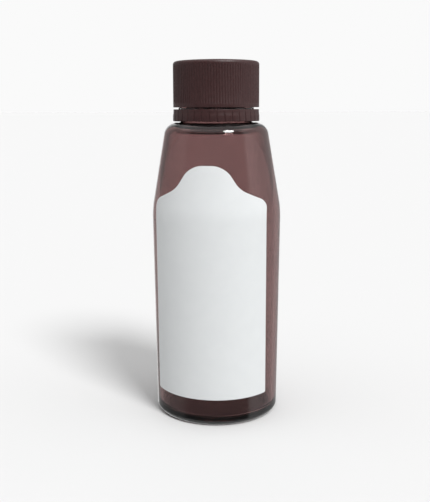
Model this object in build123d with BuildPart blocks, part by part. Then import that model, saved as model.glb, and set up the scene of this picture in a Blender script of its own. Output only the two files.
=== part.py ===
"""Wide-mouth glass soda bottle with a tamper-evident screw cap and a paper label.

Millimetres, +Z up. The origin is the middle of the base, on the surface that
the bottle stands on. The label faces -Y.
"""

from build123d import *
from math import cos, radians, tan
import os

os.makedirs("parts", exist_ok=True)

# ---------------------------------------------------------------- driving sizes

# Glass bottle, outside
bottle_height = 168.4          # ground to the lip
contact_ring_inner_r = 24.5    # the flat ring that the bottle stands on
heel_r = 30.35                 # where the body's side would meet the ground
heel_round = 2.8
bulge_r = 31.33                # widest point, where body meets cone
bulge_z = 101.2
bulge_round = 42.0
cone_half_angle = 9.78         # degrees from the axis
shoulder_z = 142.6             # the flat of the shoulder
shoulder_round = 6.2

# Glass bottle, inside
glass_wall = 2.42
bore_r = 14.8                  # the mouth
inner_shoulder_z = 139.9
inner_shoulder_round = 4.0
inner_neck_round = 3.0
inner_heel_round = 3.0
floor_edge_z = 2.6
floor_centre_z = 5.9
push_up_z = 3.4                # height of the arch under the base

# Neck finish
neck_r = 16.8                  # below the locking bead
neck_root_round = 1.0
finish_r = 17.4                # wall between the threads
locking_bead_r = 18.8
locking_bead_low_z = 145.9
locking_bead_high_z = 148.3
lip_round = 0.9

# Screw thread, three starts
starts = 3
thread_lead = 10.0             # rise in one full turn
thread_crest_r = 18.65
thread_root_half = 0.95
thread_crest_half = 0.35
thread_low_z = 155.0
thread_sweep = 240.0           # degrees covered by one start
root_sink = 0.3                # how far a ridge is rooted in its wall

# Cap
cap_r = 20.48
cap_low_r = 20.54
cap_bottom_z = 149.65
cap_rim_z = 170.85
cap_rim_round = 1.5
cap_dome_mid_z = 171.55
cap_top_z = 171.8
cap_inner_r = 18.95
cap_ceiling_z = 169.6
rib_count = 100
rib_groove_r = 0.36
rib_low_z = 151.4
rib_high_z = 169.1
cap_thread_tip_r = 17.75
cap_thread_root_half = 0.70
cap_thread_tip_half = 0.30
cap_thread_drop = 1.3          # below the bottle's own ridge when tightened
cap_thread_lag = 30.0          # degrees past the start of the bottle's ridge
cap_thread_sweep = 200.0

# Sealing wad
wad_r = 18.6
wad_low_z = 168.42
wad_high_z = 169.55
wad_face_round = 0.2

# Tamper ring
ring_bottom_z = 143.2
ring_top_z = 148.75
ring_upper_r = 20.46
ring_lower_r = 20.67
ring_step_high_z = 147.2
ring_step_low_z = 145.8
ring_inner_r = 19.3
pleat_count = 36
pleat_top_z = 147.5
pleat_width = 1.3
pleat_depth = 0.34

# Flaps folded up inside the tamper ring
flap_count = 12
flap_gap_deg = 7.0
flap_foot_z = 143.4
flap_tip_z = 145.65
flap_tip_r = 17.65

# Break ties between ring and cap
tie_count = 6
tie_first_deg = 39.2           # how far round the ring stands on the neck
tie_mid_r = 19.85
tie_depth = 0.6
tie_width = 0.7
tie_clearance = 0.04

# Paper label
label_thickness = 0.12
label_half_width = 26.2
label_bottom_z = 13.3
label_bottom_round = 0.6
label_corner_z = 107.0
label_corner_round = 5.0
label_waist = (14.8, 112.9)    # where the shoulder turns up into the hump
label_waist_round = 11.0
label_hump_half = 7.8
label_hump_round = 10.0
label_top_z = 123.7

# ---------------------------------------------------------------- worked out

cone_slope = tan(radians(cone_half_angle))
body_slope = (bulge_r - heel_r) / bulge_z


def cone_r(z, depth=0.0):
    """Radius of the cone at height z, at a depth measured squarely in from its face."""
    return bulge_r - depth / cos(radians(cone_half_angle)) - cone_slope * (z - bulge_z)


def body_r(z, depth=0.0):
    """Radius of the nearly straight body at height z, at a depth in from its face."""
    return bulge_r - depth + body_slope * (z - bulge_z)


def bulge_point(depth=0.0):
    """Sharp corner between body and cone, at a depth in from the outer face."""
    z = bulge_z + (depth - depth / cos(radians(cone_half_angle))) / (cone_slope + body_slope)
    return (body_r(z, depth), z)


def section(*points):
    """Closed radial outline of a ring, as a face on the XZ plane, ready to revolve."""
    with BuildSketch(Plane.XZ) as face:
        with BuildLine():
            Polyline(*points, close=True)
        make_face()
    return face.sketch


def ridge(root_r, crest_r, root_half, crest_half, low_z, sweep_deg):
    """One start of a right-hand thread: a tapered ridge along a helix about Z."""
    with BuildPart() as one_start:
        with BuildLine():
            Helix(
                pitch=thread_lead,
                height=thread_lead * sweep_deg / 360,
                radius=(root_r + crest_r) / 2,
                center=(0, 0, low_z),
            )
        with BuildSketch(Plane.XZ):
            with BuildLine():
                Polyline(
                    (root_r, low_z - root_half),
                    (crest_r, low_z - crest_half),
                    (crest_r, low_z + crest_half),
                    (root_r, low_z + root_half),
                    close=True,
                )
            make_face()
        sweep(is_frenet=True)
    return one_start.part


def save(part, name):
    """Label a finished piece and write it as one STEP file."""
    part.label = name
    export_step(part, "parts/" + name + ".step")
    print(name, "volume", round(part.volume, 1), "mm3, solids", len(part.solids()))


# ---------------------------------------------------------------- glass bottle

glass_ridge = ridge(
    finish_r - root_sink,
    thread_crest_r,
    thread_root_half,
    thread_crest_half,
    thread_low_z,
    thread_sweep,
)

outer_wall = [
    (contact_ring_inner_r, 0),
    (heel_r, 0),
    (bulge_r, bulge_z),
    (cone_r(shoulder_z), shoulder_z),
    (neck_r, shoulder_z),
    (neck_r, locking_bead_low_z),
    (locking_bead_r, locking_bead_low_z + 0.6),
    (locking_bead_r, locking_bead_high_z - 0.8),
    (finish_r, locking_bead_high_z),
    (finish_r, bottle_height),
]
inner_wall = [
    (bore_r, bottle_height),
    (bore_r, inner_shoulder_z),
    (cone_r(inner_shoulder_z, glass_wall), inner_shoulder_z),
    bulge_point(glass_wall),
    (body_r(floor_edge_z, glass_wall), floor_edge_z),
    (0, floor_centre_z),
]
wall_rounds = [
    heel_round,
    bulge_round,
    shoulder_round,
    neck_root_round,
    0.3,
    0.5,
    0.5,
    0.4,
    lip_round,
    lip_round,
    inner_neck_round,
    inner_shoulder_round,
    bulge_round,
    inner_heel_round,
]

with BuildPart() as glass_bottle:
    with BuildSketch(Plane.XZ):
        with BuildLine():
            FilletPolyline(*outer_wall, *inner_wall, radius=wall_rounds)
            Line((0, floor_centre_z), (0, push_up_z))
            TangentArc((0, push_up_z), (contact_ring_inner_r, 0), tangent=(1, 0))
        make_face()
    revolve(axis=Axis.Z)
    with PolarLocations(0, starts):
        add(glass_ridge)

save(glass_bottle.part, "glass_bottle")

# ---------------------------------------------------------------- paper label

with BuildPart() as front_label:
    with BuildSketch(Plane.XZ):
        with BuildLine():
            inner_face = FilletPolyline(
                (body_r(label_bottom_z - 5), label_bottom_z - 5),
                bulge_point(),
                (cone_r(label_top_z + 5), label_top_z + 5),
                radius=[bulge_round],
            )
            outer_face = FilletPolyline(
                (body_r(label_bottom_z - 5, -label_thickness), label_bottom_z - 5),
                bulge_point(-label_thickness),
                (cone_r(label_top_z + 5, -label_thickness), label_top_z + 5),
                radius=[bulge_round + label_thickness],
            )
            Line(inner_face @ 0, outer_face @ 0)
            Line(inner_face @ 1, outer_face @ 1)
        make_face()
    revolve(axis=Axis.Z)
    with BuildSketch(Plane.XZ):
        with BuildLine():
            FilletPolyline(
                (0, label_bottom_z),
                (label_half_width, label_bottom_z),
                (label_half_width, label_corner_z),
                label_waist,
                (label_hump_half, label_top_z),
                (0, label_top_z),
                radius=[label_bottom_round, label_corner_round, label_waist_round, label_hump_round],
            )
            Line((0, label_top_z), (0, label_bottom_z))
        make_face()
        mirror(about=Plane.YZ)
    extrude(amount=2 * bulge_r, mode=Mode.INTERSECT)

save(front_label.part, "front_label")

# ---------------------------------------------------------------- screw cap

cap_ridge = ridge(
    cap_inner_r + root_sink,
    cap_thread_tip_r,
    cap_thread_root_half,
    cap_thread_tip_half,
    thread_low_z - cap_thread_drop + thread_lead * cap_thread_lag / 360,
    cap_thread_sweep,
)

with BuildPart() as cap_shell:
    with BuildSketch(Plane.XZ):
        with BuildLine():
            FilletPolyline(
                (0, cap_ceiling_z),
                (cap_inner_r, cap_ceiling_z),
                (cap_inner_r, cap_bottom_z),
                (cap_low_r, cap_bottom_z),
                (cap_r, cap_rim_z),
                (cap_r / 2, cap_dome_mid_z),
                (0, cap_top_z),
                radius=[0, 0.3, 0.4, cap_rim_round, 150],
            )
            Line((0, cap_top_z), (0, cap_ceiling_z))
        make_face()
    revolve(axis=Axis.Z)
    with BuildSketch(Plane.XY.offset(rib_low_z)):
        with PolarLocations(cap_low_r, rib_count):
            Circle(rib_groove_r)
    extrude(amount=rib_high_z - rib_low_z, mode=Mode.SUBTRACT)
    with PolarLocations(0, starts, start_angle=cap_thread_lag):
        add(cap_ridge)

save(cap_shell.part, "cap_shell")

# ---------------------------------------------------------------- sealing wad

with BuildPart() as cap_liner:
    with BuildSketch(Plane.XY.offset(wad_low_z)):
        Circle(wad_r)
    extrude(amount=wad_high_z - wad_low_z)
    fillet(cap_liner.edges().filter_by(GeomType.CIRCLE), wad_face_round)

save(cap_liner.part, "cap_liner")

# ---------------------------------------------------------------- tamper ring

with BuildPart() as tamper_band:
    with BuildSketch(Plane.XZ):
        with BuildLine():
            FilletPolyline(
                (ring_inner_r, ring_bottom_z),
                (ring_lower_r, ring_bottom_z),
                (ring_lower_r, ring_step_low_z),
                (ring_upper_r, ring_step_high_z),
                (ring_upper_r, ring_top_z),
                (ring_inner_r, ring_top_z),
                radius=[0.3, 2.0, 2.0, 0.3],
            )
            Line((ring_inner_r, ring_top_z), (ring_inner_r, ring_bottom_z))
        make_face()
    revolve(axis=Axis.Z)
    with BuildSketch(Plane.YZ.offset(ring_lower_r - pleat_depth)):
        with BuildLine():
            Polyline(
                (-pleat_width / 2, ring_bottom_z - 1),
                (pleat_width / 2, ring_bottom_z - 1),
                (0, pleat_top_z),
                close=True,
            )
        make_face()
    pleat_cutter = extrude(amount=2, mode=Mode.PRIVATE)
    with PolarLocations(0, pleat_count):
        add(pleat_cutter, mode=Mode.SUBTRACT)

save(tamper_band.part, "tamper_band")

# ---------------------------------------------------------------- folded flaps

with BuildPart() as one_flap:
    add(
        section(
            (ring_inner_r, flap_foot_z),
            (ring_inner_r, flap_foot_z + 1.0),
            (flap_tip_r + 0.7, flap_tip_z + 0.1),
            (flap_tip_r, flap_tip_z),
            (flap_tip_r, flap_tip_z - 0.4),
            (ring_inner_r - 0.7, flap_foot_z),
        )
    )
    revolve(axis=Axis.Z, revolution_arc=360 / flap_count - flap_gap_deg)

with BuildPart() as band_flaps:
    with PolarLocations(0, flap_count, start_angle=flap_gap_deg / 2):
        add(one_flap.part)

save(band_flaps.part, "band_flaps")

# ---------------------------------------------------------------- break ties

with BuildPart() as break_ties:
    with BuildSketch(Plane.XY.offset(ring_top_z)):
        with PolarLocations(tie_mid_r, tie_count, start_angle=tie_first_deg):
            Rectangle(tie_depth, tie_width)
    extrude(amount=cap_bottom_z - ring_top_z - tie_clearance, taper=6)

save(break_ties.part, "break_ties")

# ---------------------------------------------------------------- what it holds

with BuildPart() as inside:
    with BuildSketch(Plane.XZ):
        with BuildLine():
            FilletPolyline((0, bottle_height), *inner_wall, radius=[0, *wall_rounds[-4:]])
            Line((0, floor_centre_z), (0, bottle_height))
        make_face()
    revolve(axis=Axis.Z)

print("brimful", round(inside.part.volume / 1000, 1), "ml")
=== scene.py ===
"""Glass soda bottle with a ribbed screw cap, a tamper ring and a blank paper label.

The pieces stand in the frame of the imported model: metres, +Z up, the origin in the
middle of the base, the label towards -Y. The sizes in the classes are millimetres,
and MM turns them into metres where a piece is made.
"""

import logging
from collections.abc import Callable, Sequence
from dataclasses import dataclass, field
from enum import Enum
from math import atan2, ceil, cos, degrees, hypot, pi, radians, sin, sqrt, tan

import bmesh
import bpy
from mathutils import Matrix, Vector


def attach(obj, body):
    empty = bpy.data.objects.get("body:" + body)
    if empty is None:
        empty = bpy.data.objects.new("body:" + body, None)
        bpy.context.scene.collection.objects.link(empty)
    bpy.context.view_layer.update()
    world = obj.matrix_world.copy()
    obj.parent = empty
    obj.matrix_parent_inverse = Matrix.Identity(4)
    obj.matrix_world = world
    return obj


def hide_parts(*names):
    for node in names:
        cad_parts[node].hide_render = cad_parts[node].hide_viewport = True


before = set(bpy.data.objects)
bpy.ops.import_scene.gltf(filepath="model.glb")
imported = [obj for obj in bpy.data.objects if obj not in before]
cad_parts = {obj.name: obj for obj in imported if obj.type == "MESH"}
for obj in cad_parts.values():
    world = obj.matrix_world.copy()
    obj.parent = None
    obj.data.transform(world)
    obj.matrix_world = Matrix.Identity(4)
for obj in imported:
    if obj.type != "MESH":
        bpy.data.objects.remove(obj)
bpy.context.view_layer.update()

MM = 0.001
TURN = 2 * pi
MERGE = 0.000002  # vertices closer than this, in metres, become one
ON_POINT = 0.004  # a vertex this near to a corner, in millimetres, is that corner
SAME_CUT = 0.0000001  # the same for the ends of an edge that is divided, in metres
SLACK = 0.01  # how far a vertex may be off a wall or the axis, in millimetres
SKIN = 0.05  # the same on a moulded outside
MOULDED_SHARP = 40.0  # the angle past which an edge of the moulding stays sharp
log = logging.getLogger("bottle")


class Body(Enum):
    """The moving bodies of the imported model."""

    BOTTLE = "bottle"
    SEAL = "seal"
    CAP = "cap"
    RING = "ring"


class Slot(Enum):
    """The material slots."""

    GLASS = "amber_glass"
    PAPER = "label_paper"
    PLASTIC = "cap_plastic"
    FOAM = "liner_foam"


# ------------------------------------------------------------------ bench tools


def deselect() -> None:
    """Leave object mode with nothing selected."""
    if bpy.context.object and bpy.context.object.mode != "OBJECT":
        bpy.ops.object.mode_set(mode="OBJECT")
    bpy.ops.object.select_all(action="DESELECT")


def take(piece: bpy.types.Object) -> None:
    """Select one piece alone and make it active.

    Args:
        piece: the object to work on.
    """
    deselect()
    piece.select_set(True)
    bpy.context.view_layer.objects.active = piece


def edit(piece: bpy.types.Object) -> None:
    """Open a piece in edit mode, in vertex select mode, with nothing selected.

    Args:
        piece: the object to open.
    """
    take(piece)
    bpy.ops.object.mode_set(mode="EDIT")
    bpy.ops.mesh.select_mode(type="VERT")
    bpy.ops.mesh.select_all(action="DESELECT")


def pick(chosen: Callable[[Vector], bool]) -> int:
    """Select the vertices of the open piece that stand in a place.

    Args:
        chosen: says whether a vertex at a point, in metres, is wanted.

    Returns:
        How many vertices were selected.
    """
    bpy.ops.mesh.select_all(action="DESELECT")
    mesh = bpy.context.edit_object.data
    shape = bmesh.from_edit_mesh(mesh)
    found = 0
    for vertex in shape.verts:
        if chosen(vertex.co):
            vertex.select = True
            found += 1
    shape.select_flush(True)
    bmesh.update_edit_mesh(mesh)
    return found


def near(r: float, z: float) -> Callable[[Vector], bool]:
    """Make a chooser for the outline's vertex at a radius and height.

    Args:
        r: radius in millimetres.
        z: height in millimetres.

    Returns:
        A function for pick().
    """
    place = Vector((r * MM, 0, z * MM))
    return lambda point: (point - place).length < ON_POINT * MM


def finish_mesh(piece: bpy.types.Object, sharp: float = 32.0) -> None:
    """Merge doubles, point the faces outwards and shade the piece smooth.

    Args:
        piece: the object to finish.
        sharp: the angle, in degrees, past which an edge stays sharp.
    """
    edit(piece)
    bpy.ops.mesh.select_all(action="SELECT")
    bpy.ops.mesh.remove_doubles(threshold=MERGE)
    bpy.ops.mesh.normals_make_consistent(inside=False)
    take(piece)
    bpy.ops.object.shade_smooth_by_angle(angle=radians(sharp))


def press(piece: bpy.types.Object, rise: Callable[[float, float, float], float]) -> None:
    """Move each vertex straight out from the axis, as a mould's surface shapes it.

    Args:
        piece: the object to shape.
        rise: the move outwards in millimetres, from the vertex's radius and height
            in millimetres and its angle about Z in degrees, from 0 to 360.
    """
    for vertex in piece.data.vertices:
        r = hypot(vertex.co.x, vertex.co.y) / MM
        if r < SLACK:
            continue
        angle = degrees(atan2(vertex.co.y, vertex.co.x)) % 360
        scale = 1 + rise(r, angle, vertex.co.z / MM) / r
        vertex.co.x *= scale
        vertex.co.y *= scale
    piece.data.update()


def ease(x: float) -> float:
    """Smooth step from 0 to 1.

    Args:
        x: how far along, 0 to 1, and held there outside that.

    Returns:
        The eased value.
    """
    x = min(max(x, 0.0), 1.0)
    return x * x * (3 - 2 * x)


def array_round(piece: bpy.types.Object, count: int, first_deg: float = 0.0) -> bpy.types.Object:
    """Copy a piece round the Z axis, each copy with its own mesh, and join them.

    Args:
        piece: the one made first.
        count: how many there are in all.
        first_deg: where the first one goes, in degrees.

    Returns:
        The joined object.
    """
    piece.data.transform(Matrix.Rotation(radians(first_deg), 4, "Z"))
    copies = [piece]
    for number in range(1, count):
        copy = piece.copy()
        copy.data = piece.data.copy()
        copy.data.transform(Matrix.Rotation(TURN * number / count, 4, "Z"))
        bpy.context.scene.collection.objects.link(copy)
        copies.append(copy)
    take(piece)
    for copy in copies:
        copy.select_set(True)
    bpy.ops.object.join()
    return piece


def hand_in(
    piece: bpy.types.Object, finish: "Finish", node: str, body: Body
) -> None:
    """Dress a piece, let it stand for its CAD node and ride on its body.

    Args:
        piece: the object, in its final shape.
        finish: what it is made of.
        node: the CAD node that it replaces.
        body: the body that it moves with.
    """
    finish.dress(piece)
    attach(piece, body.value)
    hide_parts(node)
    log.info("%s: %d faces, on %s", piece.name, len(piece.data.polygons), body.value)


@dataclass(frozen=True)
class Corner:
    """One corner of a turned outline, in millimetres.

    Attributes:
        r: radius from the axis.
        z: height.
        rounding: radius of the corner's rounding, 0 for a sharp one.
        steps: how many segments the rounding has.
    """

    r: float
    z: float
    rounding: float = 0.0
    steps: int = 6


@dataclass
class Lathe:
    """Turns an outline about the Z axis.

    Attributes:
        name: the piece's name.
        corners: the outline, from one end to the other.
        columns: steps in the whole turn.
        closed: whether the last corner joins the first.
        sweep_deg: how far round the outline is turned.
    """

    name: str
    corners: Sequence[Corner]
    columns: int
    closed: bool = False
    sweep_deg: float = 360.0

    def trace(self) -> bpy.types.Object:
        """Draw the outline: a plane merged to one point, then extruded corner by corner.

        Returns:
            The outline as an object, open in edit mode.
        """
        deselect()
        first = self.corners[0]
        bpy.ops.mesh.primitive_plane_add(size=MM, location=(first.r * MM, 0, first.z * MM))
        piece = bpy.context.object
        piece.name = self.name
        piece.data.name = self.name
        bpy.ops.object.transform_apply(location=True, rotation=True, scale=True)
        bpy.ops.object.mode_set(mode="EDIT")
        bpy.ops.mesh.select_mode(type="VERT")
        bpy.ops.mesh.select_all(action="SELECT")
        bpy.ops.mesh.merge(type="CENTER")
        for here, there in zip(self.corners, self.corners[1:]):
            step = ((there.r - here.r) * MM, 0, (there.z - here.z) * MM)
            bpy.ops.mesh.extrude_region_move(TRANSFORM_OT_translate={"value": step})
        if self.closed:
            last = self.corners[-1]
            ends = (near(first.r, first.z), near(last.r, last.z))
            pick(lambda point: ends[0](point) or ends[1](point))
            bpy.ops.mesh.edge_face_add()
        return piece

    def round_corners(self) -> None:
        """Bevel each corner of the open outline to its own radius."""
        count = len(self.corners)
        for index, corner in enumerate(self.corners):
            if corner.rounding <= 0:
                continue
            before = self.corners[index - 1]
            after = self.corners[(index + 1) % count]
            inwards = Vector((corner.r - before.r, corner.z - before.z))
            onwards = Vector((after.r - corner.r, after.z - corner.z))
            reach = corner.rounding * tan(inwards.angle(onwards) / 2)
            if pick(near(corner.r, corner.z)):
                bpy.ops.mesh.bevel(
                    offset_type="OFFSET",
                    offset=reach * MM,
                    segments=corner.steps,
                    affect="VERTICES",
                )

    @staticmethod
    def divide(longest: float, chosen: Callable[[float, float], bool]) -> None:
        """Cut the open outline's edges in one place into equal short ones.

        Args:
            longest: the longest edge left there, in millimetres.
            chosen: says whether a point at a radius and height, in millimetres, is in
                the place.
        """
        mesh = bpy.context.edit_object.data
        shape = bmesh.from_edit_mesh(mesh)
        spans = []
        for edge in shape.edges:
            ends = [vertex.co.copy() for vertex in edge.verts]
            if all(chosen(end.x / MM, end.z / MM) for end in ends):
                spans.append(ends)
        for low, high in spans:
            cuts = ceil((high - low).length / MM / longest) - 1
            if cuts < 1:
                continue
            pick(
                lambda point, a=low, b=high: (point - a).length < SAME_CUT
                or (point - b).length < SAME_CUT
            )
            bpy.ops.mesh.subdivide(number_cuts=cuts)

    def turn(self) -> bpy.types.Object:
        """Spin the open outline about Z, close it and leave edit mode.

        Returns:
            The turned object.
        """
        bpy.ops.mesh.select_all(action="SELECT")
        bpy.ops.mesh.spin(
            steps=self.columns,
            dupli=False,
            angle=radians(self.sweep_deg),
            center=(0, 0, 0),
            axis=(0, 0, 1),
        )
        bpy.ops.mesh.select_all(action="SELECT")
        bpy.ops.mesh.remove_doubles(threshold=MERGE)
        bpy.ops.mesh.select_all(action="DESELECT")
        bpy.ops.mesh.select_non_manifold(use_wire=False, use_multi_face=False)
        bpy.ops.mesh.fill_holes(sides=0)
        piece = bpy.context.edit_object
        bpy.ops.object.mode_set(mode="OBJECT")
        return piece

    def make(
        self, longest: float = 0.0, chosen: Callable[[float, float], bool] | None = None
    ) -> bpy.types.Object:
        """Trace, round and turn the outline.

        Args:
            longest: the longest edge left where the outline is divided.
            chosen: where it is divided, as for divide(), or nowhere.

        Returns:
            The turned object.
        """
        self.trace()
        self.round_corners()
        if chosen is not None:
            self.divide(longest, chosen)
        return self.turn()


# ------------------------------------------------------------------ finishes


class Nodes:
    """A node tree, with the calls that fill it."""

    def __init__(self, tree: bpy.types.NodeTree) -> None:
        """Take a tree to fill.

        Args:
            tree: the tree.
        """
        self.tree = tree

    def add(self, kind: str, settings: dict | None = None, **inputs: object) -> bpy.types.Node:
        """Add a node and set its plain inputs.

        Args:
            kind: the node's type name.
            settings: attributes of the node itself.
            **inputs: input sockets by name, with underscores for spaces. A socket is
                linked, and any other value is set.

        Returns:
            The new node.
        """
        node = self.tree.nodes.new(kind)
        for attribute, value in (settings or {}).items():
            setattr(node, attribute, value)
        for label, value in inputs.items():
            socket = node.inputs[label.replace("_", " ")]
            if isinstance(value, bpy.types.NodeSocket):
                self.tree.links.new(value, socket)
            else:
                socket.default_value = value
        return node

    def place(self, scale: tuple[float, float, float] = (1, 1, 1)) -> bpy.types.NodeSocket:
        """Give object coordinates in metres times a scale.

        Args:
            scale: what each axis is multiplied by.

        Returns:
            The vector socket.
        """
        where = self.add("ShaderNodeTexCoord").outputs["Object"]
        return self.add("ShaderNodeMapping", Vector=where, Scale=scale).outputs["Vector"]

    def noise(
        self,
        per_metre: float,
        detail: float = 3.0,
        stretch: tuple[float, float, float] = (1, 1, 1),
    ) -> bpy.types.NodeSocket:
        """Give a noise of the object's own space.

        Args:
            per_metre: cells in a metre.
            detail: octaves.
            stretch: scale of each axis on top of that.

        Returns:
            The noise's value socket.
        """
        node = self.add(
            "ShaderNodeTexNoise", Vector=self.place(stretch), Scale=per_metre, Detail=detail
        )
        return node.outputs["Fac"]

    def between(
        self,
        value: bpy.types.NodeSocket,
        low: float,
        high: float,
        from_low: float = 0.35,
        from_high: float = 0.65,
    ) -> bpy.types.NodeSocket:
        """Map a value to a range.

        Args:
            value: the socket to map.
            low: the result at from_low.
            high: the result at from_high.
            from_low: the lower end of the value.
            from_high: the upper end of the value.

        Returns:
            The mapped value's socket.
        """
        node = self.add(
            "ShaderNodeMapRange",
            Value=value,
            From_Min=from_low,
            From_Max=from_high,
            To_Min=low,
            To_Max=high,
        )
        return node.outputs["Result"]

    def blend_colours(
        self,
        factor: bpy.types.NodeSocket,
        first: tuple[float, float, float] | bpy.types.NodeSocket,
        second: tuple[float, float, float],
    ) -> bpy.types.NodeSocket:
        """Mix two colours by a value.

        Args:
            factor: 0 gives the first, 1 the second.
            first: linear colour, or a socket that gives one.
            second: linear colour.

        Returns:
            The colour socket.
        """
        node = self.add("ShaderNodeMix", {"data_type": "RGBA"}, Factor=factor)
        if isinstance(first, bpy.types.NodeSocket):
            self.tree.links.new(first, node.inputs[6])
        else:
            node.inputs[6].default_value = (*first, 1)
        node.inputs[7].default_value = (*second, 1)
        return node.outputs[2]

    def bump(
        self,
        height: bpy.types.NodeSocket,
        depth_mm: float,
        strength: float = 1.0,
        under: bpy.types.NodeSocket | None = None,
    ) -> bpy.types.NodeSocket:
        """Turn a height into a normal.

        Args:
            height: the height socket, from 0 to 1.
            depth_mm: how deep a height of 1 is.
            strength: how much of it shows.
            under: a normal that it goes on top of.

        Returns:
            The normal socket.
        """
        node = self.add("ShaderNodeBump", Height=height, Distance=depth_mm * MM, Strength=strength)
        if under is not None:
            self.tree.links.new(under, node.inputs["Normal"])
        return node.outputs["Normal"]


class MaterialNodes(Nodes):
    """A material's node tree, emptied and ready to be filled."""

    def __init__(self, name: str) -> None:
        """Make the material.

        Args:
            name: the material's name.
        """
        self.material = bpy.data.materials.new(name)
        self.material.use_nodes = True
        super().__init__(self.material.node_tree)
        self.tree.nodes.clear()
        self.output = self.add("ShaderNodeOutputMaterial")

    def surface(self, shader: bpy.types.Node) -> bpy.types.Material:
        """Send a shader to the output.

        Args:
            shader: the node with the shader.

        Returns:
            The finished material.
        """
        self.tree.links.new(shader.outputs[0], self.output.inputs["Surface"])
        return self.material


class Finish:
    """What a piece is made of. Each kind builds its own material."""

    def build(self) -> bpy.types.Material:
        """Make the material.

        Returns:
            The finished material.
        """
        raise NotImplementedError

    def dress(self, piece: bpy.types.Object) -> None:
        """Give a piece this finish all over.

        Args:
            piece: the object to dress.
        """
        piece.data.materials.clear()
        piece.data.materials.append(self.build())


@dataclass(frozen=True)
class AmberGlass(Finish):
    """Red-brown container glass, coloured through, with slightly uneven walls.

    Attributes:
        surface_tint: colour taken at each face.
        body_tint: colour of the glass in depth.
        density: how fast the depth colours, per metre.
        ior: refractive index.
        wave_mm: height of the slow waves left by blowing.
        waves_per_metre: how close they are.
        wave_stretch: their scale along each axis.
        wave_strength: how much of them shows.
    """

    surface_tint: tuple[float, float, float] = (0.628, 0.519, 0.519)
    body_tint: tuple[float, float, float] = (0.44, 0.2, 0.18)
    density: float = 250.0
    ior: float = 1.52
    wave_mm: float = 0.015
    waves_per_metre: float = 45.0
    wave_stretch: tuple[float, float, float] = (1, 1, 0.45)
    wave_strength: float = 0.5

    def build(self) -> bpy.types.Material:
        """Make the material.

        Returns:
            Clear tinted glass with a plain volume absorption.
        """
        nodes = MaterialNodes("amber_glass")
        waves = nodes.bump(
            nodes.noise(self.waves_per_metre, 1.0, self.wave_stretch),
            self.wave_mm,
            self.wave_strength,
        )
        shader = nodes.add("ShaderNodeBsdfPrincipled", Normal=waves)
        shader.inputs["Base Color"].default_value = (*self.surface_tint, 1)
        shader.inputs["Roughness"].default_value = 0.0
        shader.inputs["IOR"].default_value = self.ior
        shader.inputs["Transmission Weight"].default_value = 1.0
        depth = nodes.add("ShaderNodeVolumeAbsorption", Density=self.density)
        depth.inputs["Color"].default_value = (*self.body_tint, 1)
        nodes.tree.links.new(depth.outputs[0], nodes.output.inputs["Volume"])
        return nodes.surface(shader)


@dataclass(frozen=True)
class MouldedPlastic(Finish):
    """Very dark brown moulded plastic with a fine matt grain.

    Attributes:
        name: the material's name.
        dark: linear colour of the darker flecks.
        light: linear colour of the lighter ones.
        roughness: the middle of the roughness.
        rough_spread: how far it goes down and up from there.
        rough_per_metre: how close its patches are.
        mottle_per_metre: how close the flecks are.
        grain_per_metre: how close the grain is.
        grain_mm: depth of the grain.
        grain_strength: how much of it shows.
        ior: refractive index.
    """

    name: str = "cap_plastic"
    dark: tuple[float, float, float] = (0.036, 0.0115, 0.0115)
    light: tuple[float, float, float] = (0.048, 0.016, 0.016)
    roughness: float = 0.45
    rough_spread: tuple[float, float] = (-0.06, 0.08)
    rough_per_metre: float = 900.0
    mottle_per_metre: float = 1400.0
    grain_per_metre: float = 4200.0
    grain_mm: float = 0.02
    grain_strength: float = 0.35
    ior: float = 1.49

    def build(self) -> bpy.types.Material:
        """Make the material.

        Returns:
            Matt plastic with mottled colour, uneven roughness and a grain.
        """
        nodes = MaterialNodes(self.name)
        mottle = nodes.noise(self.mottle_per_metre, 4.0)
        grain = nodes.noise(self.grain_per_metre, 2.0)
        colour = nodes.blend_colours(nodes.between(mottle, 0, 1), self.dark, self.light)
        low, high = (self.roughness + spread for spread in self.rough_spread)
        rough = nodes.between(nodes.noise(self.rough_per_metre, 3.0), low, high)
        shader = nodes.add(
            "ShaderNodeBsdfPrincipled",
            Base_Color=colour,
            Roughness=rough,
            Normal=nodes.bump(grain, self.grain_mm, self.grain_strength),
        )
        shader.inputs["IOR"].default_value = self.ior
        return nodes.surface(shader)


@dataclass(frozen=True)
class LabelPaper(Finish):
    """Uncoated white label paper with a soft fibre grain.

    Attributes:
        white: linear colour of the sheet.
        shade: linear colour of its faint cloudiness.
        cloud_per_metre: how close the clouds are.
        roughness: lowest and highest roughness.
        fibres_per_metre: how close the fibres are.
        fibre_stretch: their scale along each axis.
        fibre_mm: depth of the fibres.
        fibre_strength: how much of them shows.
        specular: strength of its faint gloss.
    """

    white: tuple[float, float, float] = (0.672, 0.689, 0.694)
    shade: tuple[float, float, float] = (0.660, 0.677, 0.683)
    cloud_per_metre: float = 160.0
    roughness: tuple[float, float] = (0.78, 0.92)
    fibres_per_metre: float = 2600.0
    fibre_stretch: tuple[float, float, float] = (1, 1, 0.35)
    fibre_mm: float = 0.012
    fibre_strength: float = 0.5
    specular: float = 0.3

    def build(self) -> bpy.types.Material:
        """Make the material.

        Returns:
            Rough paper with fibres along it.
        """
        nodes = MaterialNodes("label_paper")
        fibre = nodes.noise(self.fibres_per_metre, 5.0, self.fibre_stretch)
        cloud = nodes.noise(self.cloud_per_metre, 4.0)
        colour = nodes.blend_colours(nodes.between(cloud, 0, 1), self.shade, self.white)
        shader = nodes.add(
            "ShaderNodeBsdfPrincipled",
            Base_Color=colour,
            Roughness=nodes.between(fibre, *self.roughness),
            Normal=nodes.bump(fibre, self.fibre_mm, self.fibre_strength),
        )
        shader.inputs["Specular IOR Level"].default_value = self.specular
        return nodes.surface(shader)


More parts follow.
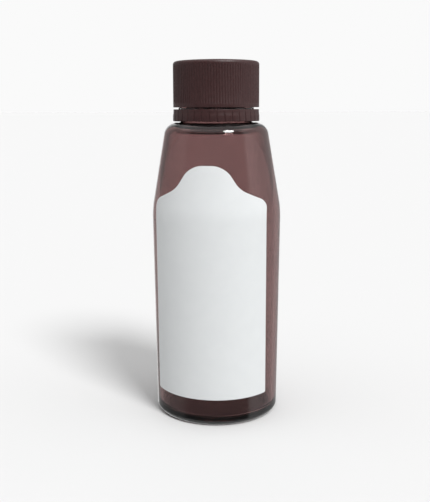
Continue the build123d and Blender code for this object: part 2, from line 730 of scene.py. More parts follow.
@dataclass(frozen=True)
class FoamSheet(Finish):
    """White foamed plastic sheet with fine cells, greyed along the cells as painted shade.

    Attributes:
        white: linear colour of the skin.
        painted_cell_shade: linear colour in the cells.
        cells_per_metre: how close the cells are.
        cell_span: where a cell's wall begins and ends, as a share of its size.
        roughness: lowest and highest roughness.
        cell_mm: depth of the cells.
        cell_strength: how much of them shows.
    """

    white: tuple[float, float, float] = (0.74, 0.73, 0.70)
    painted_cell_shade: tuple[float, float, float] = (0.62, 0.61, 0.58)
    cells_per_metre: float = 2600.0
    cell_span: tuple[float, float] = (0.1, 0.5)
    roughness: tuple[float, float] = (0.6, 0.75)
    cell_mm: float = 0.03
    cell_strength: float = 0.4

    def build(self) -> bpy.types.Material:
        """Make the material.

        Returns:
            Pitted white foam.
        """
        nodes = MaterialNodes("liner_foam")
        cells = nodes.add(
            "ShaderNodeTexVoronoi", Vector=nodes.place(), Scale=self.cells_per_metre
        ).outputs["Distance"]
        # painted shade: the colour greys with the same cell distance that raises the bump, white
        # at each cell's middle
        depth = nodes.between(cells, 0, 1, *self.cell_span)
        colour = nodes.blend_colours(depth, self.white, self.painted_cell_shade)
        shader = nodes.add(
            "ShaderNodeBsdfPrincipled",
            Base_Color=colour,
            Roughness=nodes.between(cells, *self.roughness, *self.cell_span),
            Normal=nodes.bump(cells, self.cell_mm, self.cell_strength),
        )
        return nodes.surface(shader)


@dataclass(frozen=True)
class StudioPaper(Finish):
    """The pale, matt floor.

    Attributes:
        colour: its linear colour.
    """

    colour: tuple[float, float, float] = (0.68, 0.68, 0.68)

    def build(self) -> bpy.types.Material:
        """Make the material.

        Returns:
            A plain diffuse floor.
        """
        nodes = MaterialNodes("studio_floor")
        shader = nodes.add("ShaderNodeBsdfDiffuse")
        shader.inputs["Color"].default_value = (*self.colour, 1)
        return nodes.surface(shader)


# ------------------------------------------------------------------ the bottle


@dataclass
class Thread:
    """A three-start right-hand screw thread, the same on bottle and cap.

    Attributes:
        lead: rise in one full turn.
        starts: how many ridges wind side by side.
        low_z: height where each ridge begins.
        sweep_deg: how far round each ridge goes.
        height: how far it stands out.
        foot: half its width at the wall.
        crest: half its width at the top.
        lag_deg: where the first ridge begins.
        fade_deg: length of the run-out at each end.
    """

    low_z: float
    sweep_deg: float
    height: float
    foot: float
    crest: float
    lag_deg: float = 0.0
    lead: float = 10.0
    starts: int = 3
    fade_deg: float = 14.0

    def rise(self, angle: float, z: float) -> float:
        """Height of the ridge over its wall.

        Args:
            angle: degrees about Z.
            z: height in millimetres.

        Returns:
            The height in millimetres.
        """
        best = 0.0
        for start in range(self.starts):
            along = (angle - self.lag_deg - 360 * start / self.starts) % 360
            if along > self.sweep_deg:
                continue
            off = abs(z - self.low_z - self.lead * along / 360)
            across = ease((self.foot - off) / (self.foot - self.crest))
            ends = ease(along / self.fade_deg) * ease((self.sweep_deg - along) / self.fade_deg)
            best = max(best, self.height * across * ends)
        return best


@dataclass
class GlassBottle:
    """The blown glass: body, tapered shoulder, neck finish and push-up base.

    Attributes:
        glass: the finish.
        columns: steps round.
        heel_r: radius where the body's side would meet the ground.
        bulge_r: the widest radius, where body and cone meet.
        bulge_z: height of that.
        bulge_round: radius of its rounding.
        cone_deg: the cone's half angle.
        wall: thickness of the wall.
        heel_round: radius of the heel's rounding.
        push_up_z: height of the arch under the base.
        push_up_r: radius of the arch's flat top.
        push_up_round: radius of the arch's sides.
        contact_r: inner radius of the ring that it stands on.
        contact_round: radius of the rounding there.
        floor_edge_z: height of the floor inside, at the wall.
        floor_middle_z: height of the floor inside, in the middle.
        inner_heel_round: radius of the rounding where that floor meets the wall.
        shoulder_z: height of the shoulder's flat.
        shoulder_round: radius of its rounding.
        inner_shoulder_z: the flat's height, inside.
        inner_shoulder_round: radius of its rounding, inside.
        throat_round: radius of the rounding from there into the mouth.
        lip_z: height of the lip.
        lip_round: radius of the lip's roundings.
        neck_r: radius below the bead.
        neck_round: radius of the rounding at the neck's foot.
        finish_r: radius between the threads.
        bore_r: radius of the mouth.
        bead_r: radius of the locking bead.
        bead_z: its heights, from its lower face to where it meets the neck again.
        bead_round: radii of its roundings, at its foot, its crest and its end.
        thread_bottom_z: lower end of the zone that is cut fine for the thread.
        thread_top_z: upper end of that zone.
        thread_row: height of its rows.
        thread: the thread.
    """

    glass: AmberGlass = field(default_factory=AmberGlass)
    columns: int = 192
    heel_r: float = 30.35
    bulge_r: float = 31.33
    bulge_z: float = 101.2
    bulge_round: float = 42.0
    cone_deg: float = 9.78
    wall: float = 2.42
    heel_round: float = 2.8
    push_up_z: float = 3.4
    push_up_r: float = 12.3
    push_up_round: float = 87.0
    contact_r: float = 24.5
    contact_round: float = 0.6
    shoulder_z: float = 142.6
    shoulder_round: float = 6.2
    inner_shoulder_z: float = 139.9
    inner_shoulder_round: float = 4.0
    throat_round: float = 3.0
    lip_z: float = 168.4
    lip_round: float = 0.9
    neck_r: float = 16.8
    neck_round: float = 1.0
    finish_r: float = 17.4
    bore_r: float = 14.8
    bead_r: float = 18.8
    bead_z: tuple[float, float, float, float] = (145.9, 146.5, 147.5, 148.3)
    bead_round: tuple[float, float, float] = (0.3, 0.5, 0.4)
    floor_edge_z: float = 2.6
    floor_middle_z: float = 5.9
    inner_heel_round: float = 3.0
    thread_bottom_z: float = 152.0
    thread_top_z: float = 164.5
    thread_row: float = 0.25
    thread: Thread = field(
        default_factory=lambda: Thread(
            low_z=155.0, sweep_deg=240, height=1.22, foot=0.98, crest=0.22
        )
    )

    def body_r(self, z: float, depth: float = 0.0) -> float:
        """Radius of the straight body.

        Args:
            z: height in millimetres.
            depth: how far in from the outer face.

        Returns:
            The radius in millimetres.
        """
        slope = (self.bulge_r - self.heel_r) / self.bulge_z
        return self.bulge_r - depth + slope * (z - self.bulge_z)

    def cone_r(self, z: float, depth: float = 0.0) -> float:
        """Radius of the tapered shoulder.

        Args:
            z: height in millimetres.
            depth: how far in from the outer face, square to it.

        Returns:
            The radius in millimetres.
        """
        lean = radians(self.cone_deg)
        return self.bulge_r - depth / cos(lean) - tan(lean) * (z - self.bulge_z)

    def outer_r(self, z: float) -> float:
        """Radius of the outer face from heel to shoulder, with the rounded bulge.

        Args:
            z: height in millimetres.

        Returns:
            The radius in millimetres.
        """
        lean = radians(self.cone_deg)
        draft = atan2(self.bulge_r - self.heel_r, self.bulge_z)
        reach = self.bulge_round * tan((lean + draft) / 2)
        low = self.bulge_z - reach * cos(draft)
        high = self.bulge_z + reach * cos(lean)
        if z <= low:
            return self.body_r(z)
        if z >= high:
            return self.cone_r(z)
        centre_r = self.body_r(low) - self.bulge_round * cos(draft)
        centre_z = low + self.bulge_round * sin(draft)
        return centre_r + sqrt(self.bulge_round**2 - (z - centre_z) ** 2)

    def outline(self) -> list[Corner]:
        """List the corners of the whole wall, from under the base to the floor inside.

        Returns:
            The corners in order.
        """
        bead_foot, bead_low, bead_high, bead_end = self.bead_z
        foot_round, crest_round, end_round = self.bead_round
        inside = self.inner_shoulder_z
        return [
            Corner(0, self.push_up_z),
            Corner(self.push_up_r, self.push_up_z, self.push_up_round, 10),
            Corner(self.contact_r, 0, self.contact_round, 4),
            Corner(self.heel_r, 0, self.heel_round, 10),
            Corner(self.bulge_r, self.bulge_z, self.bulge_round, 10),
            Corner(self.cone_r(self.shoulder_z), self.shoulder_z, self.shoulder_round, 14),
            Corner(self.neck_r, self.shoulder_z, self.neck_round, 6),
            Corner(self.neck_r, bead_foot, foot_round, 3),
            Corner(self.bead_r, bead_low, crest_round, 5),
            Corner(self.bead_r, bead_high, crest_round, 5),
            Corner(self.finish_r, bead_end, end_round, 3),
            Corner(self.finish_r, self.thread_bottom_z),
            Corner(self.finish_r, self.thread_top_z),
            Corner(self.finish_r, self.lip_z, self.lip_round, 6),
            Corner(self.bore_r, self.lip_z, self.lip_round, 6),
            Corner(self.bore_r, inside, self.throat_round, 8),
            Corner(self.cone_r(inside, self.wall), inside, self.inner_shoulder_round, 10),
            Corner(self.bulge_r - self.wall, self.bulge_z, self.bulge_round, 10),
            Corner(
                self.body_r(self.floor_edge_z, self.wall),
                self.floor_edge_z,
                self.inner_heel_round,
                10,
            ),
            Corner(0, self.floor_middle_z),
        ]

    def build(self) -> bpy.types.Object:
        """Make the glass.

        Returns:
            The finished bottle.
        """
        lathe = Lathe("bottle_glass", self.outline(), self.columns)
        piece = lathe.make(
            self.thread_row,
            lambda r, z: r > self.finish_r - SLACK
            and self.thread_bottom_z - SLACK < z < self.thread_top_z + SLACK,
        )
        press(
            piece,
            lambda r, angle, z: self.thread.rise(angle, z)
            if r > self.finish_r - SKIN and self.thread_bottom_z < z < self.thread_top_z
            else 0.0,
        )
        finish_mesh(piece)
        hand_in(piece, self.glass, "glass_bottle", Body.BOTTLE)
        return piece


@dataclass
class PaperLabel:
    """The blank wrap-round label with a raised middle.

    Attributes:
        bottle: the glass it is stuck to.
        paper: the finish.
        half_width: half its width, seen from in front.
        bottom_z: height of its lower edge.
        corner_z: height of its upper corners.
        waist: where each shoulder turns up into the middle, as a distance and height.
        hump_half: half the width of the raised middle.
        top_z: height of the raised middle.
        bottom_round: radius of the lower corners.
        corner_round: radius of the upper corners.
        waist_round: radius of the hollow at the waist.
        hump_round: radius of the raised middle's corners.
        glue: gap between glass and paper.
        thickness: thickness of the paper.
        column_deg: width of the grid's columns, round the bottle.
        column_end_deg: how far round the columns go.
        row: height of the grid's rows.
        bulge_row: height of the rows over the bottle's bulge.
        bulge_zone: lower and upper height of those rows.
    """

    bottle: GlassBottle
    paper: LabelPaper = field(default_factory=LabelPaper)
    half_width: float = 26.2
    bottom_z: float = 13.3
    corner_z: float = 107.0
    waist: tuple[float, float] = (14.8, 112.9)
    hump_half: float = 7.8
    top_z: float = 123.7
    bottom_round: float = 0.6
    corner_round: float = 5.0
    waist_round: float = 11.0
    hump_round: float = 10.0
    glue: float = 0.012
    thickness: float = 0.1
    column_deg: float = 2.5
    column_end_deg: float = 60.0
    row: float = 4.0
    bulge_row: float = 1.0
    bulge_zone: tuple[float, float] = (94.0, 108.0)

    def outline(self) -> list[Corner]:
        """List the corners of the sheet as it is seen from in front.

        Returns:
            The corners in order, with r as the distance to the side.
        """
        right = [
            Corner(self.half_width, self.bottom_z, self.bottom_round, 4),
            Corner(self.half_width, self.corner_z, self.corner_round, 12),
            Corner(*self.waist, self.waist_round, 10),
            Corner(self.hump_half, self.top_z, self.hump_round, 14),
        ]
        left = [Corner(-c.r, c.z, c.rounding, c.steps) for c in reversed(right)]
        return right + left

    def cut(self, place: Vector, normal: Vector) -> None:
        """Slice the open sheet along a plane.

        Args:
            place: a point of the plane.
            normal: its direction.
        """
        bpy.ops.mesh.select_all(action="SELECT")
        bpy.ops.mesh.bisect(plane_co=place, plane_no=normal)

    def build(self) -> bpy.types.Object:
        """Make the label: cut out flat, sliced into a grid, bent on, and thickened.

        Returns:
            The finished label.
        """
        press_on = Lathe("label_sheet", self.outline(), 1, closed=True)
        piece = press_on.trace()
        press_on.round_corners()
        bpy.ops.mesh.select_all(action="SELECT")
        bpy.ops.mesh.edge_face_add()
        limit = int(self.column_end_deg / self.column_deg)
        for column in range(-limit, limit + 1):
            side = self.bottle.bulge_r * sin(radians(column * self.column_deg))
            self.cut(Vector((side * MM, 0, 0)), Vector((1, 0, 0)))
        z = self.bottom_z
        low, high = self.bulge_zone
        while z < self.top_z:
            z += self.bulge_row if low < z < high else self.row
            self.cut(Vector((0, 0, z * MM)), Vector((0, 0, 1)))
        bpy.ops.object.mode_set(mode="OBJECT")
        for vertex in piece.data.vertices:
            r = self.bottle.outer_r(vertex.co.z / MM) + self.glue
            vertex.co.y = -sqrt(r**2 - (vertex.co.x / MM) ** 2) * MM
        finish_mesh(piece)
        self.face_front(piece)
        solidify = piece.modifiers.new("thickness", "SOLIDIFY")
        solidify.thickness = self.thickness * MM
        solidify.offset = 1.0
        take(piece)
        bpy.ops.object.modifier_apply(modifier=solidify.name)
        even = piece.modifiers.new("even_shading", "WEIGHTED_NORMAL")
        even.keep_sharp = True
        bpy.ops.object.modifier_apply(modifier=even.name)
        hand_in(piece, self.paper, "front_label", Body.BOTTLE)
        return piece

    def face_front(self, piece: bpy.types.Object) -> None:
        """Turn the single sheet's faces away from the glass.

        Args:
            piece: the sheet before it is thickened.
        """
        if piece.data.polygons[0].normal.y > 0:
            edit(piece)
            bpy.ops.mesh.select_all(action="SELECT")
            bpy.ops.mesh.flip_normals()
            deselect()


# ------------------------------------------------------------------ the closure


@dataclass
class ScrewCap:
    """The cap: domed top, ribbed skirt and inner thread.

    Attributes:
        plastic: the finish.
        ribs: how many ribs it has.
        per_rib: columns for each rib.
        bottom_z: height of the skirt's lower edge.
        top_z: height of the top.
        rim_z: height where the side would meet the top.
        rim_round: radius of the rounding there.
        gate_r: radii of the gate mark, at its floor and at its rim.
        gate_depth: depth of the gate mark's floor under top_z.
        crown_drop: how far the gate mark's rim stays under top_z.
        dome_r: radius where the dome bends down.
        dome_drop: how far it has come down there.
        dome_round: radius of that bend.
        outer_r: radius at the top.
        lower_r: radius at the bottom.
        inner_r: radius inside.
        ceiling_z: height of the ceiling inside.
        edge_round: radius of the lower edge's roundings.
        rib_low_z: lower end of the ribs.
        rib_high_z: upper end of the ribs.
        rib_fade: length over which they run out.
        rib_depth: depth of the grooves between them.
        groove_reach: where a groove's flank ends, as a share of half a rib's pitch.
        groove_flank: width of that flank, as the same share.
        thread_bottom_z: lower end of the zone that is cut fine for the thread.
        thread_top_z: upper end of that zone.
        thread_row: height of its rows.
        thread: the thread.
    """

    plastic: MouldedPlastic = field(default_factory=MouldedPlastic)
    ribs: int = 100
    per_rib: int = 8
    bottom_z: float = 149.65
    top_z: float = 171.8
    rim_z: float = 170.85
    rim_round: float = 1.5
    gate_r: tuple[float, float] = (1.3, 1.9)
    gate_depth: float = 0.25
    crown_drop: float = 0.01
    dome_r: float = 10.2
    dome_drop: float = 0.25
    dome_round: float = 60.0
    outer_r: float = 20.48
    lower_r: float = 20.54
    inner_r: float = 18.95
    ceiling_z: float = 169.6
    edge_round: float = 0.14
    rib_low_z: float = 151.4
    rib_high_z: float = 169.1
    rib_fade: float = 0.45
    rib_depth: float = 0.22
    groove_reach: float = 0.62
    groove_flank: float = 0.5
    thread_bottom_z: float = 152.2
    thread_top_z: float = 163.2
    thread_row: float = 0.3
    thread: Thread = field(
        default_factory=lambda: Thread(
            low_z=153.7 + 10 * 30 / 360,
            sweep_deg=200,
            height=1.15,
            foot=0.74,
            crest=0.2,
            lag_deg=30,
        )
    )

    def outline(self) -> list[Corner]:
        """List the corners from the middle of the top to the middle of the ceiling.

        Returns:
            The corners in order.
        """
        floor_r, crown_r = self.gate_r
        return [
            Corner(0, self.top_z - self.gate_depth),
            Corner(floor_r, self.top_z - self.gate_depth, 0.5, 4),
            Corner(crown_r, self.top_z - self.crown_drop, 0.8, 4),
            Corner(self.dome_r, self.top_z - self.dome_drop, self.dome_round, 4),
            Corner(self.outer_r, self.rim_z, self.rim_round, 10),
            Corner(self.outer_r, self.rib_high_z),
            Corner(self.outer_r, self.rib_high_z - self.rib_fade),
            Corner(self.lower_r, self.rib_low_z + self.rib_fade),
            Corner(self.lower_r, self.rib_low_z),
            Corner(self.lower_r, self.bottom_z, self.edge_round, 3),
            Corner(self.inner_r, self.bottom_z, self.edge_round, 3),
            Corner(self.inner_r, self.thread_bottom_z),
            Corner(self.inner_r, self.thread_top_z),
            Corner(self.inner_r, self.ceiling_z),
            Corner(0, self.ceiling_z),
        ]

    def groove(self, angle: float, z: float) -> float:
        """Depth of the outside at an angle and height, 0 on a rib's crest.

        Args:
            angle: degrees about Z.
            z: height in millimetres.

        Returns:
            The depth in millimetres.
        """
        across = abs((angle * self.ribs / 360) % 1 - 0.5) * 2
        profile = ease((self.groove_reach - across) / self.groove_flank)
        ends = ease((z - self.rib_low_z) / self.rib_fade) * ease(
            (self.rib_high_z - z) / self.rib_fade
        )
        return self.rib_depth * profile * ends

    def shape(self, r: float, angle: float, z: float) -> float:
        """Move of one vertex outwards: ribs on the outside, thread on the inside.

        Args:
            r: radius in millimetres.
            angle: degrees about Z.
            z: height in millimetres.

        Returns:
            The move in millimetres.
        """
        if r > self.outer_r - SKIN and self.rib_low_z < z < self.rib_high_z:
            return -self.groove(angle, z)
        on_wall = abs(r - self.inner_r) < 2 * SLACK
        if on_wall and self.thread_bottom_z < z < self.thread_top_z:
            return -self.thread.rise(angle, z)
        return 0.0

    def build(self) -> bpy.types.Object:
        """Make the cap.

        Returns:
            The finished cap.
        """
        lathe = Lathe("cap_moulding", self.outline(), self.ribs * self.per_rib)
        piece = lathe.make(
            self.thread_row,
            lambda r, z: abs(r - self.inner_r) < SLACK
            and self.thread_bottom_z - SLACK < z < self.thread_top_z + SLACK,
        )
        press(piece, self.shape)
        finish_mesh(piece, MOULDED_SHARP)
        hand_in(piece, self.plastic, "cap_shell", Body.CAP)
        return piece


@dataclass
class SealingWad:
    """The foam disc that seals the lip, with the lip's print in its face.

    Attributes:
        foam: the finish.
        r: its radius.
        low_z: height of its lower face.
        high_z: height of its upper face.
        print_depth: depth of the print.
        print_r: radii of the print, where it begins, is deep, is still deep and ends.
        print_round: radius of the print's roundings.
        edge_round: radius of the edge's roundings.
        columns: steps round.
    """

    foam: FoamSheet = field(default_factory=FoamSheet)
    r: float = 18.6
    low_z: float = 168.42
    high_z: float = 169.55
    print_depth: float = 0.07
    print_r: tuple[float, float, float, float] = (15.1, 15.4, 16.8, 17.1)
    print_round: float = 0.1
    edge_round: float = 0.2
    columns: int = 128

    def build(self) -> bpy.types.Object:
        """Make the wad.

        Returns:
            The finished wad.
        """
        pressed = self.low_z + self.print_depth
        print_z = (self.low_z, pressed, pressed, self.low_z)
        outline = [
            Corner(0, self.low_z),
            *(Corner(r, z, self.print_round, 2) for r, z in zip(self.print_r, print_z)),
            Corner(self.r, self.low_z, self.edge_round, 4),
            Corner(self.r, self.high_z, self.edge_round, 4),
            Corner(0, self.high_z),
        ]
        piece = Lathe("wad_disc", outline, self.columns).make()
        finish_mesh(piece)
        hand_in(piece, self.foam, "cap_liner", Body.SEAL)
        return piece


@dataclass
class TamperRing:
    """The ring left on the neck, with its pleats, inner flaps and broken ties.

    Attributes:
        plastic: the finish.
        bottom_z: height of its lower edge.
        step_low_z: where its wider lower part ends.
        step_high_z: where its narrower upper part begins.
        top_z: height of its upper edge.
        inner_r: radius inside.
        lower_r: radius of the lower part.
        upper_r: radius of the upper part.
        edge_round: radius of the upper edge's roundings.
        bottom_round: radius of the lower edge's rounding.
        step_round: radius of the roundings between the two parts.
        pleats: how many pleats it has.
        per_pleat: columns for each pleat.
        pleat_row: height of the rows that the pleats are cut into.
        pleat_spare: how far over the pleats those rows go.
        pleat_top_z: height of the pleats' tips.
        pleat_width: width of a pleat at its foot.
        pleat_tip: half its width at its tip.
        pleat_slope: how steep its flanks are.
        pleat_depth: depth of a pleat.
        outside_r: the pleats are in what stands further out than this.
        flaps: how many flaps it has.
        flap_gap_deg: gap between two flaps.
        flap_columns: steps across a flap.
        flap_root_z: heights between which the flaps grow out of the ring.
        flap_root_r: radius of their inner face at the lower of those.
        flap_crown: radius and height of their highest edge.
        flap_tip_r: radius of their tips.
        flap_tip_z: lower and upper height of their tips.
        flap_round: radii of their roundings, at the crown, over the tip and under it.
        ties: how many ties it has.
        tie_first_deg: how far round the first one is.
        tie_r: radius of the circle that they stand on.
        tie_height: their height.
        tie_across: their size towards the axis and along the ring.
        tie_taper: size of their upper end, as a share of the lower.
        tie_tear: width of the rim left by the break, and how far its middle is pushed.
        tie_bevel: width of the bevel on their edges.
    """

    plastic: MouldedPlastic = field(default_factory=MouldedPlastic)
    bottom_z: float = 143.2
    step_low_z: float = 145.8
    step_high_z: float = 147.2
    top_z: float = 148.75
    inner_r: float = 19.3
    lower_r: float = 20.67
    upper_r: float = 20.46
    edge_round: float = 0.14
    bottom_round: float = 0.3
    step_round: float = 2.0
    pleats: int = 36
    per_pleat: int = 20
    pleat_row: float = 0.35
    pleat_spare: float = 0.2
    pleat_top_z: float = 147.5
    pleat_width: float = 1.3
    pleat_tip: float = 0.05
    pleat_slope: float = 1.6
    pleat_depth: float = 0.26
    outside_r: float = 20.0
    flaps: int = 12
    flap_gap_deg: float = 7.0
    flap_columns: int = 8
    flap_root_z: tuple[float, float] = (143.4, 144.4)
    flap_root_r: float = 18.6
    flap_crown: tuple[float, float] = (18.35, 145.75)
    flap_tip_r: float = 17.65
    flap_tip_z: tuple[float, float] = (145.25, 145.65)
    flap_round: tuple[float, float, float] = (0.25, 0.15, 0.2)
    ties: int = 6
    tie_first_deg: float = 39.2
    tie_r: float = 19.85
    tie_height: float = 0.86
    tie_across: tuple[float, float] = (0.6, 0.7)
    tie_taper: float = 0.65
    tie_tear: tuple[float, float] = (0.06, -0.08)
    tie_bevel: float = 0.05

    def pleat(self, r: float, angle: float, z: float) -> float:
        """Move of one vertex outwards in the tapered pleats.

        Args:
            r: radius in millimetres.
            angle: degrees about Z.
            z: height in millimetres.

        Returns:
            The move in millimetres.
        """
        if r < self.outside_r or z > self.pleat_top_z:
            return 0.0
        pitch = 360 / self.pleats
        off = abs((angle + pitch / 2) % pitch - pitch / 2)
        across = radians(off) * r
        down = (self.pleat_top_z - z) / (self.pleat_top_z - self.bottom_z)
        half = self.pleat_width / 2 * down
        inwards = 1 - across / max(half, self.pleat_tip)
        return -self.pleat_depth * ease(self.pleat_slope * inwards)

    def build_ring(self) -> bpy.types.Object:
        """Make the ring.

        Returns:
            The finished ring.
        """
        outline = [
            Corner(self.inner_r, self.bottom_z),
            Corner(self.lower_r, self.bottom_z, self.bottom_round, 3),
            Corner(self.lower_r, self.step_low_z, self.step_round, 4),
            Corner(self.upper_r, self.step_high_z, self.step_round, 4),
            Corner(self.upper_r, self.top_z, self.edge_round, 3),
            Corner(self.inner_r, self.top_z, self.edge_round, 2),
        ]
        lathe = Lathe("ring_moulding", outline, self.pleats * self.per_pleat, closed=True)
        piece = lathe.make(
            self.pleat_row,
            lambda r, z: r > self.upper_r - SLACK
            and z < self.pleat_top_z + self.pleat_spare,
        )
        press(piece, self.pleat)
        finish_mesh(piece, MOULDED_SHARP)
        hand_in(piece, self.plastic, "tamper_band", Body.RING)
        return piece

    def build_flaps(self) -> bpy.types.Object:
        """Make the flaps that catch under the neck's bead.

        Returns:
            The row of flaps, as one object.
        """
        root_low, root_high = self.flap_root_z
        tip_low, tip_high = self.flap_tip_z
        crown_round, over_round, under_round = self.flap_round
        outline = [
            Corner(self.inner_r, root_low),
            Corner(self.inner_r, root_high),
            Corner(*self.flap_crown, crown_round, 3),
            Corner(self.flap_tip_r, tip_high, over_round, 2),
            Corner(self.flap_tip_r, tip_low, under_round, 2),
            Corner(self.flap_root_r, root_low, under_round, 2),
        ]
        sweep = 360 / self.flaps - self.flap_gap_deg
        piece = Lathe("flap_row", outline, self.flap_columns, True, sweep).make()
        finish_mesh(piece)
        array_round(piece, self.flaps, self.flap_gap_deg / 2)
        hand_in(piece, self.plastic, "band_flaps", Body.RING)
        return piece

    def build_ties(self) -> bpy.types.Object:
        """Make the broken ties on the ring's top edge.

        Returns:
            The row of ties, as one object.
        """
        height = self.tie_height
        middle_z = self.top_z + height / 2
        deselect()
        bpy.ops.mesh.primitive_cube_add(size=1, location=(self.tie_r * MM, 0, middle_z * MM))
        piece = bpy.context.object
        piece.name = "tie_row"
        deep, wide = self.tie_across
        bpy.ops.transform.resize(value=(deep * MM, wide * MM, height * MM))
        bpy.ops.object.transform_apply(location=True, rotation=True, scale=True)
        edit(piece)
        pick(lambda point: point.z > middle_z * MM)
        top = Vector((self.tie_r * MM, 0, (self.top_z + height) * MM))
        bpy.ops.transform.resize(
            value=(self.tie_taper, self.tie_taper, 1), center_override=top
        )
        rim, push = self.tie_tear
        bpy.ops.mesh.inset(thickness=rim * MM, depth=push * MM)
        take(piece)
        bevel = piece.modifiers.new("soft_edges", "BEVEL")
        bevel.width = self.tie_bevel * MM
        bevel.segments = 2
        bpy.ops.object.modifier_apply(modifier=bevel.name)
        finish_mesh(piece)
        array_round(piece, self.ties, self.tie_first_deg)
        hand_in(piece, self.plastic, "break_ties", Body.RING)
        return piece

    def build(self) -> list[bpy.types.Object]:
        """Make the ring and what is moulded on it.

        Returns:
            The three pieces.
        """
        return [self.build_ring(), self.build_flaps(), self.build_ties()]


# ------------------------------------------------------------------ the studio


@dataclass(frozen=True)
class Surround:
    """The room as the object meets it: white behind, pale at the sides, dark in front.

    The dark part is the unlit room behind the camera. The bottle is seen against an
    even white from every side.

    Attributes:
        white: brightness of the white that the bottle is seen against.
        overhead: brightness of the soft light above.
        room: angles round from the camera, in degrees, each with its brightness.
        low: where the overhead light begins, as the sine of its height.
        high: where it is at its full brightness.
        underfoot: brightness of the pale ground close by, as the gloss meets it.
        ground_low: where that ground begins, as a sine.
        ground_high: where it is at its full brightness.
    """

    white: float = 0.956
    overhead: float = 1.06
    room: tuple[tuple[float, float], ...] = (
        (-180, 0.956),
        (-165, 0.956),
        (-150, 0.35),
        (-110, 0.35),
        (-72, 0.4),
        (-58, 0.12),
        (58, 0.12),
        (70, 0.9),
        (110, 0.55),
        (140, 0.42),
        (160, 0.42),
        (170, 0.956),
        (180, 0.956),
    )
    low: float = 0.55
    high: float = 0.8
    underfoot: float = 0.95
    ground_low: float = -0.45
    ground_high: float = -0.65

    def build(self, turn: float) -> bpy.types.World:
        """Make the world.

        Args:
            turn: the angle about Z, in radians, of the middle of the dark part from -Y.

        Returns:
            The world, lit by direction.
        """
        world = bpy.data.worlds.new("surround")
        world.use_nodes = True
        nodes = Nodes(world.node_tree)
        way = nodes.add(
            "ShaderNodeMapping",
            Vector=nodes.add("ShaderNodeTexCoord").outputs["Generated"],
            Rotation=(0, 0, pi / 2 - turn),
        ).outputs["Vector"]
        height = nodes.add("ShaderNodeSeparateXYZ", Vector=way).outputs["Z"]
        level = nodes.blend_colours(
            self.band(nodes, height, self.ground_low, self.ground_high),
            self.build_room(nodes, way),
            (self.underfoot,) * 3,
        )
        lit = nodes.blend_colours(
            self.band(nodes, height, self.low, self.high), level, (self.overhead,) * 3
        )
        path = nodes.add("ShaderNodeLightPath")
        touched = nodes.add("ShaderNodeMath", {"operation": "MAXIMUM"})
        nodes.tree.links.new(path.outputs["Is Diffuse Ray"], touched.inputs[0])
        nodes.tree.links.new(path.outputs["Is Glossy Ray"], touched.inputs[1])
        seen = nodes.add("ShaderNodeMath", {"operation": "SUBTRACT"})
        seen.inputs[0].default_value = 1.0
        nodes.tree.links.new(touched.outputs["Value"], seen.inputs[1])
        shown = nodes.blend_colours(seen.outputs["Value"], lit, (self.white,) * 3)
        nodes.tree.links.new(shown, nodes.tree.nodes["Background"].inputs["Color"])
        return world

    def build_room(self, nodes: Nodes, way: bpy.types.NodeSocket) -> bpy.types.NodeSocket:
        """Give the room's brightness by the angle round.

        Args:
            nodes: the world's nodes.
            way: the direction, turned to face the camera's side.

        Returns:
            The colour socket.
        """
        sweep = nodes.add("ShaderNodeTexGradient", {"gradient_type": "RADIAL"}, Vector=way)
        ramp = nodes.add("ShaderNodeValToRGB", Fac=sweep.outputs["Fac"])
        ramp.color_ramp.interpolation = "EASE"
        stops = ramp.color_ramp.elements
        stops.remove(stops[1])
        for index, (angle, value) in enumerate(self.room):
            place = (angle + 180) / 360
            stop = stops[0] if index == 0 else stops.new(place)
            stop.position = place
            stop.color = (value, value, value, 1)
        return ramp.outputs["Color"]

    @staticmethod
    def band(
        nodes: Nodes, height: bpy.types.NodeSocket, begin: float, full: float
    ) -> bpy.types.NodeSocket:
        """Rise smoothly from 0 to 1 between two heights.

        Args:
            nodes: the world's nodes.
            height: the sine of the direction's height.
            begin: where it is 0.
            full: where it is 1.

        Returns:
            The value socket.
        """
        node = nodes.add(
            "ShaderNodeMapRange",
            {"interpolation_type": "SMOOTHSTEP"},
            Value=height,
            From_Min=begin,
            From_Max=full,
        )
        return node.outputs["Result"]


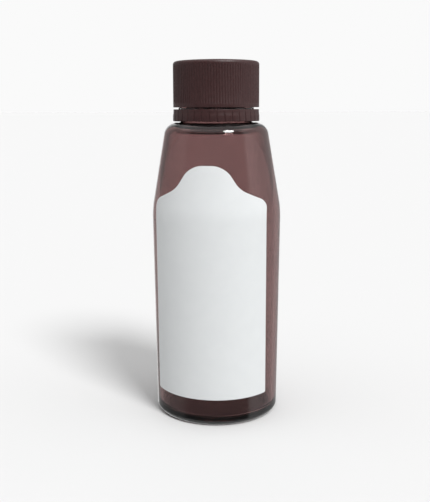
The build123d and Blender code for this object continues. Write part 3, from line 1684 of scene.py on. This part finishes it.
@dataclass
class Studio:
    """Floor, light and camera.

    Attributes:
        eye_turn_deg: how far the camera stands round from the label's middle.
        eye_aside_deg: how far it looks past the axis.
        eye_roll_deg: how far it leans over.
        eye_distance: from the bottle's axis, along the floor.
        eye_height: over the floor.
        eye_down_deg: how far it looks down.
        lens: its focal length.
        film: the height of its picture that the focal length is for.
        sight: the nearest and the furthest that it sees, in metres.
        key_turn_deg: how far the key light stands round from the camera.
        key_up_deg: how high it stands.
        key_width_deg: how wide it is.
        key_strength: how bright it is.
        surround: the room.
        floor_paper: the floor's finish.
        floor_width: how wide the floor is, in metres.
    """

    eye_turn_deg: float = 9.2
    eye_aside_deg: float = 0.13
    eye_roll_deg: float = -0.2
    eye_distance: float = 359.8
    eye_height: float = 149.2
    eye_down_deg: float = 10.96
    lens: float = 52.85
    film: float = 36.0
    sight: tuple[float, float] = (0.01, 200)
    key_turn_deg: float = 34.0
    key_up_deg: float = 49.0
    key_width_deg: float = 19.0
    key_strength: float = 2.55
    surround: Surround = field(default_factory=Surround)
    floor_paper: StudioPaper = field(default_factory=StudioPaper)
    floor_width: float = 60.0

    def build_camera(self) -> None:
        """Stand the camera up and make it the scene's."""
        turn = radians(self.eye_turn_deg)
        data = bpy.data.cameras.new("camera")
        data.sensor_fit = "VERTICAL"
        data.sensor_height = self.film
        data.lens = self.lens
        data.clip_start, data.clip_end = self.sight
        camera = bpy.data.objects.new("camera", data)
        camera.location = (
            self.eye_distance * sin(turn) * MM,
            -self.eye_distance * cos(turn) * MM,
            self.eye_height * MM,
        )
        look = (
            Matrix.Rotation(turn + radians(self.eye_aside_deg), 3, "Z")
            @ Matrix.Rotation(radians(90 - self.eye_down_deg), 3, "X")
            @ Matrix.Rotation(radians(self.eye_roll_deg), 3, "Z")
        )
        camera.rotation_euler = look.to_euler()
        bpy.context.scene.collection.objects.link(camera)
        bpy.context.scene.camera = camera

    def build_floor(self) -> None:
        """Lay a wide floor, which is left out of the pieces' gloss."""
        deselect()
        bpy.ops.mesh.primitive_plane_add(size=self.floor_width, location=(0, 0, 0))
        floor = bpy.context.object
        floor.name = "studio_floor"
        floor.visible_glossy = False
        self.floor_paper.dress(floor)

    def build_light(self) -> None:
        """Hang one soft key light in the room."""
        turn = radians(self.eye_turn_deg + self.key_turn_deg)
        up = radians(self.key_up_deg)
        data = bpy.data.lights.new("key", "SUN")
        data.energy = self.key_strength
        data.angle = radians(self.key_width_deg)
        key = bpy.data.objects.new("key", data)
        towards = Vector((sin(turn) * cos(up), -cos(turn) * cos(up), sin(up)))
        key.location = towards
        key.rotation_euler = towards.to_track_quat("Z", "Y").to_euler()
        bpy.context.scene.collection.objects.link(key)
        bpy.context.scene.world = self.surround.build(radians(self.eye_turn_deg))

    def build(self) -> None:
        """Set up the studio."""
        self.build_camera()
        self.build_floor()
        self.build_light()
        bpy.context.scene.view_settings.view_transform = "Standard"


def main() -> None:
    """Build every piece in order and say what was made."""
    logging.basicConfig(level=logging.INFO, format="%(name)s: %(message)s")
    Studio().build()
    bottle = GlassBottle()
    bottle.build()
    PaperLabel(bottle).build()
    SealingWad().build()
    ScrewCap().build()
    TamperRing().build()
    deselect()


if __name__ == "__main__":
    main()
